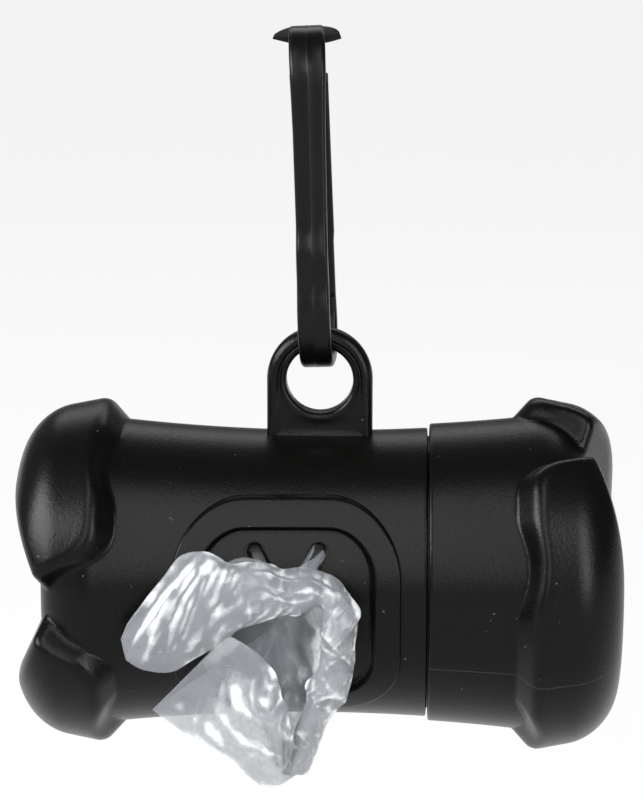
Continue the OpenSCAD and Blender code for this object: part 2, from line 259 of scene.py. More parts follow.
def turned_about_axis(profile):
    """Places of a plain profile, as points along and off the bone's axis."""
    profile = np.array(profile, float)
    shape = (len(profile), COLUMNS + 1)
    return (np.broadcast_to(profile[:, :1], shape), np.broadcast_to(profile[:, 1:], shape))


def bone_half(name, profile, end, side):
    """A hollow bone half from its inner profile and its lobed end."""
    plain = turned_about_axis(profile)
    x = np.concatenate([plain[0], end[0]])
    r = np.concatenate([plain[1], end[1]])
    around = np.arange(COLUMNS + 1) * 2 * math.pi / COLUMNS
    return folded_grid(name, at_bone(side * x, r * np.cos(around), r * np.sin(around)))


def profile_points(*stops):
    """Points from stop to stop, each with the number of steps that leads to it."""
    points = [stops[0][:2]]
    for x, r, steps in stops[1:]:
        a = np.array(points[-1])
        points += [tuple(a + (np.array((x, r)) - a) * k / steps) for k in range(1, steps + 1)]
    return points


hollow = ((HOLLOW_END, 0), (HOLLOW_END, HOLLOW_R - HOLLOW_EDGE, 4), (HOLLOW_END - HOLLOW_EDGE, HOLLOW_R, 1),
          (BORE_END, HOLLOW_R, 2), (BORE_END, BORE_R, 2))
neck_x = -JOINT_X - NECK_L
rim_r = barrel_r(JOINT_X)
barrel_x = np.linspace(-JOINT_X + RIM_EDGE, LOBES_FROM - ROW_GAP, 90)
body_profile = profile_points(
    *hollow, (neck_x + NECK_EDGE, BORE_R, 12), (neck_x, BORE_R + NECK_EDGE, 1),
    (neck_x, NECK_R - NECK_EDGE, 1), (neck_x + NECK_EDGE, NECK_R, 1), (-JOINT_X, NECK_R, 6),
    (-JOINT_X, rim_r - RIM_EDGE, 2), (-JOINT_X + RIM_ROUND, rim_r - RIM_ROUND, 1))
body_profile += [(x, barrel_r(x)) for x in barrel_x]
body = bone_half("body_shell", body_profile, lobed_end(0, 0), -1)
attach(body, "dispenser")
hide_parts("dispenser_body")


class Field:
    """A shader value that takes part in sums, each of which adds a Math node."""

    def __init__(self, paint, socket):
        self.paint = paint
        self.socket = socket

    def sum(self, operation, *values):
        return self.paint.node("ShaderNodeMath", {"operation": operation}, dict(enumerate(values)))

    def __add__(self, other):
        return self.sum("ADD", self, other)

    __radd__ = __add__

    def __mul__(self, other):
        return self.sum("MULTIPLY", self, other)

    __rmul__ = __mul__

    def __sub__(self, other):
        return self.sum("SUBTRACT", self, other)

    def __rsub__(self, other):
        return self.sum("SUBTRACT", other, self)

    def __gt__(self, other):
        return self.sum("GREATER_THAN", self, other)

    def __lt__(self, other):
        return self.sum("LESS_THAN", self, other)

    def ramp(self, low, high):
        """0 below low, 1 above high."""
        return self.paint.node("ShaderNodeMapRange", {"interpolation_type": "SMOOTHSTEP"},
                               {"Value": self, "From Min": low, "From Max": high})


class Paint:
    """A material whose surface is one Principled shader."""

    def __init__(self, name, **sockets):
        self.material = bpy.data.materials.new(name)
        self.material.use_nodes = True
        self.tree = self.material.node_tree
        self.shader = self.tree.nodes["Principled BSDF"]
        self.set(**sockets)
        self.place = self.node("ShaderNodeTexCoord", {}, {}, "Object")

    def plug(self, node, sockets):
        for key, value in sockets.items():
            socket = node.inputs[key]
            if isinstance(value, Field):
                self.tree.links.new(value.socket, socket)
            else:
                socket.default_value = value

    def node(self, kind, settings, sockets, out=0):
        """Adds a node with its settings, and gives one of its outputs."""
        node = self.tree.nodes.new(kind)
        for key, value in settings.items():
            setattr(node, key, value)
        self.plug(node, sockets)
        return Field(self, node.outputs[out])

    def set(self, **sockets):
        """Fills sockets of the shader, named with _ for a space."""
        self.plug(self.shader, {key.replace("_", " "): value for key, value in sockets.items()})

    def noise(self, size, detail=2.0, rough=0.5, place=None):
        """Noise whose features are about this many millimetres across."""
        return self.node("ShaderNodeTexNoise", {}, {"Vector": place or self.place, "Scale": 1 / (size * MM),
                                                    "Detail": detail, "Roughness": rough}, "Fac")

    def mix(self, factor, a, b):
        """A colour between two."""
        return self.node("ShaderNodeMix", {"data_type": "RGBA"}, {"Factor": factor, 6: a, 7: b}, 2)

    def bump(self, height, distance):
        """Raises the surface by a height of 0 to 1 times a distance in millimetres."""
        self.set(Normal=self.node("ShaderNodeBump", {}, {"Height": height, "Distance": distance * MM}))


def dress(piece, paint):
    """Gives a piece one material."""
    piece.data.materials.clear()
    piece.data.materials.append(paint.material)


BLACK = (0.0018, 0.0018, 0.0016, 1)
DUST = (0.08, 0.07, 0.06, 1)
# Specks are the middles of a few cells, out to this share of a cell. A seam is this wide to
# each side.
SPECKS_PER_METRE = 900
SPECK_SHARE = 0.12
SEAM_HALF = 0.06


def moulding_paint(name, seam_fall=None):
    """Black plastic with a fine matt grain and a few specks of dust. A seam is a faint parting
    line in the plane through the bone's axis that falls towards the front by an angle."""
    paint = Paint(name, IOR=1.25)
    grain = paint.noise(0.42, 3.0, 0.65)
    cloudy = paint.noise(9, 3.0)
    cells = paint.node("ShaderNodeTexVoronoi", {},
                       {"Vector": paint.place, "Scale": SPECKS_PER_METRE}, "Distance")
    pale = (cells < SPECK_SHARE) * paint.noise(1.1, 0.0).ramp(0.70, 0.72)
    if seam_fall is not None:
        front = paint.node("ShaderNodeSeparateXYZ", {}, {"Vector": paint.place}, "Y") * -1
        up = paint.node("ShaderNodeSeparateXYZ", {}, {"Vector": paint.place}, "Z") - BONE.z
        above_seam = up * math.cos(seam_fall) + front * math.sin(seam_fall)
        off = paint.node("ShaderNodeMath", {"operation": "ABSOLUTE"}, {0: above_seam})
        pale = pale + (off < SEAM_HALF * MM) * 0.35
    paint.set(Base_Color=paint.mix(pale, BLACK, DUST), Roughness=0.22 + cloudy * 0.05 + grain * 0.08)
    paint.bump(grain + cloudy * 0.3, 0.035)
    return paint


body_paint = moulding_paint("black_moulding")
dress(body, body_paint)
soften(body)

# Slot panel: a raised frame with rounded corners on the barrel, a shallow recess in it, and
# two crossed slots through its floor. It is the same moulding, closed in by a finer grid.
PANEL_X = -3.9
PANEL_TURN = math.radians(-6)
# The raised frame. Its edge is rounded and its side flares at the foot, runs up to just over
# the barrel and goes on under the barrel's surface, which is cut away a little inside of it.
PANEL_W = 30.7
PANEL_H = 30.5
PANEL_UP_SHIFT = 0.25
PANEL_CORNER = 9.5
PANEL_RISE = 0.6
PANEL_ROUND = 0.3
PANEL_FLARE = 0.35
PANEL_SUNK = 2.3
SIDE_TOP = 0.05
WINDOW_IN = 0.75
# The recess with its sloped wall, and the slots, whose lips are drawn in
RECESS_W = 23.2
RECESS_H = 23.4
RECESS_CORNER = 6
RECESS_SINK = 0.5
RECESS_SLOPE = 0.45
SLOT_W = 1.7
SLOT_L = 19.6
SLOT_REACH = (SLOT_L - SLOT_W) / 2
SLOT_TURN = math.radians(61.5)
SLOT_UP = 1.2
LIP_W = 0.45
LIP_DROP = 0.28
# Steps round each corner and along each side, and the cutters' ends from the bone's axis
CORNER_STEPS = 48
SIDE_STEPS = 57
CUT_FROM = 8
CUT_TO = 30


def panel_outline(w, h, corner, grow=0.0):
    """Points round a rectangle with round corners that has grown by so much on every side, the
    same count for each corner and each side, so that outlines can be joined point to point."""
    away = np.array((w / 2 - corner, h / 2 - corner))
    corner = corner + grow
    signs = ((1, 1), (-1, 1), (-1, -1), (1, -1))
    arcs = []
    for k, sign in enumerate(signs):
        angles = np.linspace(k, k + 1, CORNER_STEPS + 1) * math.pi / 2
        arcs.append(sign * away + corner * np.stack([np.cos(angles), np.sin(angles)], 1))
    points = []
    for arc, following in zip(arcs, arcs[1:] + arcs[:1]):
        share = np.linspace(0, 1, SIDE_STEPS + 1)[1:-1, None]
        points += [arc, arc[-1] + (following[0] - arc[-1]) * share]
    return np.concatenate(points + [points[0][:1]]) + (0, PANEL_UP_SHIFT)


def panel_place(across, up, rise):
    """Places above the barrel where a drawing on the panel's plane falls on it."""
    x = across + PANEL_X
    radius = barrel_r(x) + rise
    out = np.sqrt(np.maximum(radius ** 2 - up ** 2, 1))
    front = out * math.cos(PANEL_TURN) - up * math.sin(PANEL_TURN)
    high = out * math.sin(PANEL_TURN) + up * math.cos(PANEL_TURN)
    return at_bone(x, front, high)


def from_slots(across, up):
    """Distance of a point on the panel from the edge of the nearer slot."""
    up = up - SLOT_UP
    nearest = math.inf
    for turned in (SLOT_TURN, -SLOT_TURN):
        along = across * math.cos(turned) + up * math.sin(turned)
        off = across * math.sin(turned) - up * math.cos(turned)
        nearest = np.minimum(nearest, np.hypot(off, np.maximum(np.abs(along) - SLOT_REACH, 0)))
    return nearest - SLOT_W / 2


def panel_rings(a, b, rise_a, rise_b, steps, ease=False):
    """Rings from one outline to the next, without the last."""
    out = []
    for t in np.arange(steps) / steps:
        k = t * t * (3 - 2 * t) if ease else t
        out.append((a + (b - a) * t, np.full(len(a), rise_a + (rise_b - rise_a) * k)))
    return out


plateau = panel_outline(PANEL_W, PANEL_H, PANEL_CORNER)
plateau_base = panel_outline(PANEL_W, PANEL_H, PANEL_CORNER, PANEL_FLARE)
plateau_in = panel_outline(PANEL_W, PANEL_H, PANEL_CORNER, -PANEL_ROUND)
recess_out = panel_outline(RECESS_W, RECESS_H, RECESS_CORNER, RECESS_SLOPE)
recess_in = panel_outline(RECESS_W, RECESS_H, RECESS_CORNER, -RECESS_SLOPE)
middle = np.zeros_like(plateau) + (0, SLOT_UP)
layers = panel_rings(plateau_base, plateau_base, -PANEL_SUNK, -PANEL_FLARE, 3)
layers += panel_rings(plateau_base, plateau, -PANEL_FLARE, SIDE_TOP, 4)
layers += [(plateau + (plateau_in - plateau) * (1 - math.cos(t)),
            np.full(len(plateau), SIDE_TOP + (PANEL_RISE - SIDE_TOP) * math.sin(t)))
           for t in np.linspace(0, math.pi / 2, 8)[:-1]]
layers += panel_rings(plateau_in, recess_out, PANEL_RISE, PANEL_RISE, 18)
layers += panel_rings(recess_out, recess_in, PANEL_RISE, -RECESS_SINK, 12, True)
layers += panel_rings(recess_in, middle, -RECESS_SINK, -RECESS_SINK, 78)
layers.append((middle, np.full(len(middle), -RECESS_SINK)))
flat_x = np.array([ring[:, 0] for ring, _ in layers])
flat_up = np.array([ring[:, 1] for ring, _ in layers])
rise = np.array([height for _, height in layers])
rise = rise - LIP_DROP * np.clip(1 - from_slots(flat_x, flat_up) / LIP_W, 0, 1.3) ** 2
top = panel_place(flat_x, flat_up, rise)
back_rings = [middle + (plateau_base - middle) * t for t in np.linspace(0, 1, 6)]
back_r = BORE_R + 0.05
under = [panel_place(ring[:, 0], ring[:, 1], back_r - barrel_r(ring[:, 0] + PANEL_X)) for ring in back_rings]
panel = folded_grid("slot_panel", np.concatenate([top, np.array(under), top[:1]]))


def panel_block(name, outline, near, far):
    """A straight block that stands on an outline, along the panel's own direction."""
    bpy.ops.object.select_all(action="DESELECT")
    bpy.ops.mesh.primitive_circle_add(vertices=len(outline), radius=1, fill_type="NGON")
    block = bpy.context.object
    block.name = name
    for vertex, (x, up) in zip(block.data.vertices, outline):
        front = near * math.cos(PANEL_TURN) - up * math.sin(PANEL_TURN)
        high = near * math.sin(PANEL_TURN) + up * math.cos(PANEL_TURN)
        vertex.co = at_bone(x + PANEL_X, front, high) * MM
    out = Vector((0, -math.cos(PANEL_TURN), math.sin(PANEL_TURN))) * (far - near) * MM
    bpy.ops.object.mode_set(mode="EDIT")
    bpy.ops.mesh.select_all(action="SELECT")
    bpy.ops.mesh.extrude_region_move(TRANSFORM_OT_translate={"value": out})
    bpy.ops.mesh.select_all(action="SELECT")
    bpy.ops.mesh.normals_make_consistent(inside=False)
    bpy.ops.object.mode_set(mode="OBJECT")
    return block


def cut_out(piece, tool):
    """Takes a tool's shape out of a piece and removes the tool."""
    boolean = piece.modifiers.new("cut", "BOOLEAN")
    boolean.operation = "DIFFERENCE"
    boolean.solver = "MANIFOLD"
    boolean.object = tool
    bpy.context.view_layer.objects.active = piece
    bpy.ops.object.modifier_apply(modifier=boolean.name)
    bpy.data.objects.remove(tool)


window = panel_outline(PANEL_W, PANEL_H, PANEL_CORNER, -WINDOW_IN)[:-1]
cut_out(body, panel_block("window_cutter", window, CUT_FROM, CUT_TO))
angles = np.linspace(-math.pi / 2, math.pi / 2, 17)
half_circle = np.stack([SLOT_REACH + SLOT_W / 2 * np.cos(angles), SLOT_W / 2 * np.sin(angles)], 1)
level_slot = np.concatenate([half_circle, -half_circle])
for turned in (SLOT_TURN, -SLOT_TURN):
    c = math.cos(turned)
    s = math.sin(turned)
    slot = level_slot @ np.array([[c, s], [-s, c]]) + (0, SLOT_UP)
    cut_out(panel, panel_block("slot_cutter", slot, CUT_FROM, CUT_TO))
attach(panel, "dispenser")
dress(panel, body_paint)

# Hanging eye: an arched plate that stands on the barrel, moulded with it, with a round hole
# for the hook. Its faces are slightly dished between a full outer edge and the hole's soft rim.
EYE_R = 7.3
EYE_FOOT = 9.2
EYE_HOLE_R = 4.6
EYE_T = 3.6
EYE_EDGE = 1.4
EYE_RIM = 0.7
EYE_DISH = 0.25
EYE_COLUMNS = 240
eye_angles = np.linspace(0, 2 * math.pi, EYE_COLUMNS + 1)
eye_cos = np.cos(eye_angles)
eye_sin = np.sin(eye_angles)
below_r = np.minimum(EYE_R / np.maximum(np.abs(eye_cos), 1e-6), EYE_FOOT / np.maximum(-eye_sin, 1e-6))
web = np.where(eye_sin < 0, below_r, EYE_R) - EYE_HOLE_R
quarter = np.linspace(0, math.pi / 2, 8)
half_ring = [(EYE_RIM * (1 - math.sin(a)) + 0 * web, EYE_RIM * (1 - math.cos(a))) for a in quarter[::-1]]
half_ring += [(EYE_RIM + (web - EYE_EDGE - EYE_RIM) * t, EYE_DISH * math.sin(math.pi * t))
              for t in np.linspace(0, 1, 11)[1:-1]]
half_ring += [(web - EYE_EDGE * (1 - math.sin(a)), EYE_EDGE * (1 - math.cos(a))) for a in quarter]
eye_rows = [(out, EYE_T / 2 - sunk) for out, sunk in half_ring]
eye_rows += [(out, sunk - EYE_T / 2) for out, sunk in half_ring[::-1]]
eye_rows.append(eye_rows[0])
eye_places = [at_bone(eye_cos * (EYE_HOLE_R + out), front, eye_sin * (EYE_HOLE_R + out) + EYE_H)
              for out, front in eye_rows]
eye = folded_grid("hanging_eye", np.array(eye_places))
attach(eye, "dispenser")
dress(eye, body_paint)

# End cap: the right bone end, a second black moulding that slides over the body's neck.
# It stands a little proud of the barrel, and a fine parting line runs along it over its lobes.
CAP_STEP = 0.55
JOINT_GAP = 0.25
CAP_X = JOINT_X + JOINT_GAP
CAP_TURN = math.radians(71)
CAP_SEAM = math.radians(24.3)
# The bored seat that takes the neck, with room beyond the neck's end
SEAT_R = 18.98
SEAT_ROOM = 0.5
SEAT_EDGE = 0.3
seat_x = JOINT_X + NECK_L + SEAT_ROOM
rim_r = barrel_r(CAP_X) + CAP_STEP
cap_profile = profile_points(
    *hollow, (seat_x, BORE_R, 4), (seat_x, SEAT_R, 1), (CAP_X + SEAT_EDGE, SEAT_R, 5),
    (CAP_X, SEAT_R + SEAT_EDGE, 1), (CAP_X, rim_r - RIM_EDGE, 1), (CAP_X + RIM_ROUND, rim_r - RIM_ROUND, 1))
cap_profile += [(x, barrel_r(x) + CAP_STEP) for x in np.linspace(CAP_X + RIM_EDGE, LOBES_FROM - ROW_GAP, 28)]
cap = bone_half("cap_shell", cap_profile, lobed_end(CAP_STEP, CAP_TURN), 1)
soften(cap)
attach(cap, "cap")
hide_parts("end_cap")
dress(cap, moulding_paint("cap_moulding", CAP_SEAM))

# Snap hook: one moulded strip that runs from the gate's root round the foot, up the wavy
# front leg and over the top to the nose, whose lens-shaped cross piece stands out on both sides.
HOOK_H = 46.4
HOOK_T = 2.0
LEG_Y = 6.5
FOOT_BEND = 5.5
TOP_BEND = 4.6
FRONT_BEND = 6.3
GATE_ROOT = 9.0
NOSE_Y = 7.3
NOSE_DROP = 10.6
# The foot hangs this far above the centre of the eye's hole
FOOT_Z = 1.904
HOOK_LEAN = math.radians(2.25)
HOOK_WIDTHS = ((0, 4.5), (6, 4.45), (20, 4.2), (33, 4.4), (43, 4.9))
HOOK_ROUND = 0.6
# Steps up the front leg, and how far the straight stretches stay off the bends
LEG_STEPS = 90
OFF_BEND = 0.5
# Degrees that the foot is twisted by, and how much of it is lost up to the top
FOOT_TWIST = 2.9
UNTWIST = 5.1
# Height and size of the waves in the front leg
SWELLINGS = ((16.2, 0.9), (8.8, 0.6))
SWELLING_W = 2.7
# The last step of a strip and the shares that its end draws in by, then the parting ridge
END_STEP = 0.15
END_SHRINK = (0.9, 0.45, 0.12)
RIDGE_H = 0.05
RIDGE_SHARE = 0.045


def at_hook(across, depth, height):
    """Places in the leaning hook's frame, with the twist that the soft plastic has taken."""
    across, depth, height = np.broadcast_arrays(across, depth, height)
    twist = np.radians(FOOT_TWIST - UNTWIST * np.clip(height / HOOK_H, 0, 1))
    x = across * np.cos(twist) + depth * np.sin(twist)
    y = -across * np.sin(twist) + depth * np.cos(twist)
    z = height + FOOT_Z
    lean_x = x * math.cos(HOOK_LEAN) - z * math.sin(HOOK_LEAN)
    lean_z = x * math.sin(HOOK_LEAN) + z * math.cos(HOOK_LEAN)
    return np.stack([lean_x, y, lean_z], -1) + np.array(HOLE) / MM


def swept_strip(name, path, thick, widths, round_off):
    """A strip swept along a path of depth and height, with rounded edges, ends that draw in a
    little and a fine parting ridge down the middle of its outer face."""
    path = np.array(path, float)
    first = path[0] + (path[1] - path[0]) * END_STEP / np.linalg.norm(path[1] - path[0])
    last = path[-1] + (path[-2] - path[-1]) * END_STEP / np.linalg.norm(path[-2] - path[-1])
    path = np.concatenate([path[:1], [first], path[1:-1], [last], path[-1:]])
    widths = np.concatenate([widths[:1], widths, widths[-1:]])
    along = np.gradient(path, axis=0)
    along /= np.linalg.norm(along, axis=1)[:, None]
    side = np.stack([-along[:, 1], along[:, 0]], 1)
    steps = np.linspace(0, math.pi / 2, 6)
    ring = []
    for sx, sy, start in ((1, 1, 0), (-1, 1, 1), (-1, -1, 2), (1, -1, 3)):
        for a in steps + start * math.pi / 2:
            ring.append((sx, sy, math.cos(a), math.sin(a)))
        if start == 0:
            ring += [(RIDGE_SHARE, 1, 0, 1), (0, 1, 0, 1 + RIDGE_H / round_off), (-RIDGE_SHARE, 1, 0, 1)]
    ring.append(ring[0])
    ring = np.array(ring)
    rows = []
    order = [(0, shrink) for shrink in END_SHRINK]
    order += [(k, 0.0) for k in range(1, len(path) - 1)]
    order += [(-1, shrink) for shrink in END_SHRINK[::-1]]
    for k, shrink in order:
        w = widths[k] / 2 * (1 - shrink)
        t = thick / 2 * (1 - shrink)
        r = min(round_off, w * 0.9, t * 0.9)
        across = ring[:, 0] * (w - r) + ring[:, 2] * r
        out = ring[:, 1] * (t - r) + ring[:, 3] * r
        point = path[k] + side[k] * out[:, None]
        rows.append(at_hook(across, point[:, 0], point[:, 1]))
    poles = [np.broadcast_to(at_hook(0.0, *path[k]), rows[0].shape) for k in (0, -1)]
    return folded_grid(name, np.array([poles[0]] + rows + [poles[1]]))


def hook_line():
    """Centre line of the strip, as points of depth and height."""
    foot = HOOK_T / 2
    top = HOOK_H - HOOK_T / 2
    up = np.linspace(foot + FOOT_BEND + OFF_BEND, top - FRONT_BEND - OFF_BEND, LEG_STEPS)
    root = np.stack([np.full(6, LEG_Y), np.linspace(GATE_ROOT, foot + FOOT_BEND + OFF_BEND, 6)], 1)
    nose = np.stack([np.full(8, NOSE_Y), np.linspace(top - TOP_BEND - 0.3, HOOK_H - NOSE_DROP, 8)], 1)
    line = np.concatenate([
        root, rounded_corner((LEG_Y, 20), (LEG_Y, foot), (-LEG_Y, foot), FOOT_BEND, 24),
        rounded_corner((LEG_Y, foot), (-LEG_Y, foot), (-LEG_Y, 20), FOOT_BEND, 24),
        np.stack([np.full(LEG_STEPS, -LEG_Y), up], 1),
        rounded_corner((-LEG_Y, 20), (-LEG_Y, top), (NOSE_Y, top), FRONT_BEND, 30),
        rounded_corner((-LEG_Y, top), (NOSE_Y, top), (NOSE_Y, 20), TOP_BEND, 20), nose])
    swell = sum(size * np.exp(-((line[:, 1] - height) / SWELLING_W) ** 2) for height, size in SWELLINGS)
    line[:, 0] -= swell * np.clip(-line[:, 0] / LEG_Y, 0, 1)
    return line


hook_path = hook_line()
hook_width = np.interp(hook_path[:, 1], *np.transpose(HOOK_WIDTHS))
hook = swept_strip("hook_strip", hook_path, HOOK_T, hook_width, HOOK_ROUND)
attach(hook, "hook")
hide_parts("hook")

# The cross piece: its width, how far it rises and falls from its ends, thickness and place
CROSS_W = 9.4
CROSS_UP = 1.65
CROSS_DOWN = 0.8
CROSS_T = 2.4
CROSS_DROP = 2.0
CROSS_Z = HOOK_H - CROSS_DROP
CROSS_Y = 6.6
lens = np.linspace(-1, 1, 41)
dome = (1 - np.abs(lens) ** (2.6 + 1.8 * lens)) ** 0.42
outline_x = np.concatenate([lens, lens[::-1][1:]]) * CROSS_W / 2
outline_z = np.concatenate([dome * CROSS_UP, (lens[::-1][1:] ** 2 - 1) * CROSS_DOWN])
outline_z -= outline_x * math.tan(HOOK_LEAN)
rows = []
# Depth and size of each outline. The first and the last are points, which close the ends.
for depth, size in ((0, 0.0), (0, 0.8), (0.15, 1.0), (CROSS_T - 0.35, 1.0), (CROSS_T, 0.72), (CROSS_T, 0.0)):
    rows.append(at_hook(outline_x * (1 if size else 0), CROSS_Y - CROSS_T / 2 + depth,
                        CROSS_Z + outline_z * size))
cross = folded_grid("cross_piece", np.array(rows))
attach(cross, "hook")

hook_paint = Paint("hook_moulding", IOR=1.28)
hook_grain = hook_paint.noise(0.25, 3.0, 0.6)
streaks = hook_paint.noise(2.2, 2.0)
hook_paint.set(Base_Color=(0.0018, 0.0018, 0.0017, 1), Roughness=0.27 + streaks * 0.10)
hook_paint.bump(hook_grain + streaks * 0.5, 0.010)
dress(hook, hook_paint)
dress(cross, hook_paint)

# Gate: the hook's sprung arm. It bends at its root, where it grows out of the hook, and its
# square tip rests behind the nose.
GATE_T = 1.6
GATE_Y = LEG_Y - (HOOK_T - GATE_T) / 2
GATE_GAP = 0.3
GATE_DROP = 6.7
GATE_OVERLAP = 0.6
GATE_STRAIGHT = 8
GATE_BEND = 30
GATE_ROOT_W = 4.4
GATE_TIP_W = 5.3
GATE_ROUND = 0.3
# The length over which the gate's root bends when it is pushed in
BEND_L = 5
gate_start = np.array((GATE_Y, GATE_ROOT - GATE_OVERLAP))
gate_middle = np.array((GATE_Y, GATE_ROOT + GATE_STRAIGHT))
tip = np.array((NOSE_Y - HOOK_T / 2 - GATE_GAP - GATE_T / 2, HOOK_H - GATE_DROP))
bend = rounded_corner(gate_start, gate_middle, tip, GATE_BEND, 10)
lower = [gate_start + (bend[0] - gate_start) * t for t in np.linspace(0, 1, 8)[:-1]]
upper = [bend[-1] + (tip - bend[-1]) * t for t in np.linspace(0, 1, 20)[1:]]
gate_path = np.concatenate([lower, bend, upper])
gate_width = np.linspace(GATE_ROOT_W, GATE_TIP_W, len(gate_path))
gate = swept_strip("gate_strip", gate_path, GATE_T, gate_width, GATE_ROUND)
dress(gate, hook_paint)
root_at = at_hook(0.0, GATE_Y, GATE_ROOT)
bent_at = at_hook(0.0, GATE_Y, GATE_ROOT + BEND_L)
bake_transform(gate)
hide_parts("hook_gate")

# Bag roll: many turns of thin pale film on a brown paper tube. Only its ends and a strip behind the slots
# can be seen, so the ends have their turns as fine ridges. The film is painted dark grey, not pale: painted
# shade for the roll lying in shade inside the bore.
ROLL_R = 16.0
CORE_R = 8.5
ROLL_L = 60.0
ROLL_Z = -1.1
ROLL_TURNS = 46
turns = np.linspace(0, 1, ROLL_TURNS)
ridge = np.where(np.arange(ROLL_TURNS) % 2, 0.12, -0.05) + 0.1 * np.sin(turns * 17)
end_r = CORE_R + 0.1 + (ROLL_R - CORE_R - 0.1) * turns
profile = [(-ROLL_L / 2 - h + 0.2, r) for r, h in zip(end_r, ridge)]
profile += [(x, ROLL_R + 0.04 * math.sin(x * 1.7))
            for x in np.linspace(0.5 - ROLL_L / 2, ROLL_L / 2 - 0.5, 60)]
profile += [(ROLL_L / 2 + h - 0.2, r) for r, h in zip(end_r[::-1], ridge[::-1])]
profile.append(profile[0])
x, r = turned_about_axis(profile)
around = np.arange(COLUMNS + 1) * 2 * math.pi / COLUMNS
roll = folded_grid("wound_bags", at_bone(x, r * np.cos(around), r * np.sin(around) + ROLL_Z))
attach(roll, "roll")
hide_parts("bag_roll")
roll_shade_paint = Paint("wound_film", Roughness=0.35, IOR=1.5)
layered = roll_shade_paint.noise(0.35, 2.0, place=roll_shade_paint.node(
    "ShaderNodeMapping", {}, {"Vector": roll_shade_paint.place, "Scale": (0.03, 1, 1)}))
# Dark greys: painted shade, where the real film is pale.
roll_shade_paint.set(Base_Color=roll_shade_paint.mix(layered, (0.16, 0.17, 0.18, 1), (0.26, 0.27, 0.28, 1)))
roll_shade_paint.bump(layered, 0.05)
dress(roll, roll_shade_paint)

core_paint = Paint("brown_card", Roughness=0.85)
fibres = core_paint.noise(0.5, 4.0, 0.7)
core_paint.set(Base_Color=core_paint.mix(fibres, (0.27, 0.17, 0.09, 1), (0.45, 0.32, 0.19, 1)))
core_paint.bump(fibres, 0.04)
core = frame["nodes"]["bag_core"]
dress(core, core_paint)

# Pulled-out bag: the crumpled end of the first bag, thin cloudy film that comes out of one arm
# of the crossed slots, spreads into a cuff with a mouth below it, and hangs in front of the
# barrel. Places along it are (across, front, up) of its outer edge and of the mouth's rim.
FILM_T = 0.05
NECK_AT = np.array((PANEL_X, SLOT_UP))
NECK_REACH = 7.9
NECK_HALF = 0.42
# The neck runs from inside the slot to in front of it, and is gathered at its outer end
NECK_IN = 16.9
NECK_OUT = 21.0
GATHER_FROM = 19.6
GATHER = 0.35
# How far the mouth's rim is turned in, as a share of the cuff and in depth
TURNED_SHARE = 0.22
TURNED_BACK = 1.6
# Columns round the cuff, and rows of the neck, of the back of the cuff, of its front and of
# the turned rim
FILM_COLUMNS = 330
NECK_ROWS = 9
SPREAD_ROWS = 20
FRONT_ROWS = 70
TURNED_ROWS = 9
CUFF = (
    ((-25.5, 23.0, -3.8), (-24.9, 22.6, -6.7)),
    ((-24.5, 22.6, -1.5), (-22.5, 22.6, -8.0)),
    ((-22.3, 22.3, 1.4), (-18.8, 22.5, -8.3)),
    ((-19.8, 22.2, 4.7), (-15.2, 22.8, -6.1)),
    ((-17.5, 22.0, 7.5), (-11.5, 23.0, -3.5)),
    ((-14.5, 22.5, 8.0), (-10.0, 24.0, -2.0)),
    ((-11.0, 22.5, 6.5), (-7.5, 24.5, -1.0)),
    ((-7.5, 22.5, 7.0), (-4.5, 25.0, 0.0)),
    ((-4.0, 22.0, 6.0), (-2.0, 25.0, 0.0)),
    ((-0.5, 22.0, 6.0), (0.5, 25.0, 1.0)),
    ((3.0, 22.5, 5.0), (0.5, 25.0, -0.5)),
    ((5.0, 23.0, 2.0), (0.5, 25.0, -3.0)),
    ((5.5, 23.0, -1.0), (0.5, 24.5, -5.0)),
    ((5.5, 23.0, -4.0), (0.5, 24.5, -7.0)),
    ((5.5, 23.0, -7.5), (-1.0, 24.0, -9.5)),
    ((4.0, 22.5, -12.0), (-1.0, 24.0, -12.0)),
    ((2.0, 22.5, -15.5), (-2.0, 24.0, -15.5)),
    ((0.5, 22.5, -19.0), (-3.0, 23.5, -19.0)),
    ((-1.0, 22.5, -22.0), (-3.5, 23.5, -21.0)),
    ((-2.5, 22.5, -22.5), (-4.0, 23.0, -22.0)),
    ((-4.0, 23.5, -23.0), (-3.0, 24.0, -21.0)),
    ((-5.0, 23.5, -23.5), (-3.0, 24.5, -19.5)),
    ((-7.0, 24.0, -23.5), (-3.0, 25.0, -16.5)),
    ((-9.0, 24.0, -22.0), (-3.5, 25.5, -13.0)),
    ((-12.0, 24.0, -20.0), (-4.5, 25.5, -9.5)),
    ((-15.0, 24.0, -18.0), (-6.0, 25.0, -6.5)),
    ((-18.5, 23.5, -15.5), (-9.0, 24.5, -4.0)),
    ((-21.5, 23.0, -13.5), (-11.5, 23.0, -3.0)))
# How far each of those stretches bulges between its edges
BULGE = (0.5, 0.9, 1.3, 1.6, 1.7, 1.8, 2.0, 2.2, 2.4, 2.4, 2.2, 2.2, 2.2, 2.1, 2.0, 1.9, 1.6, 1.2, 0.7, 0.4,
         0.3, 0.5, 0.7, 0.7, 0.7, 0.6, 0.5, 0.3)
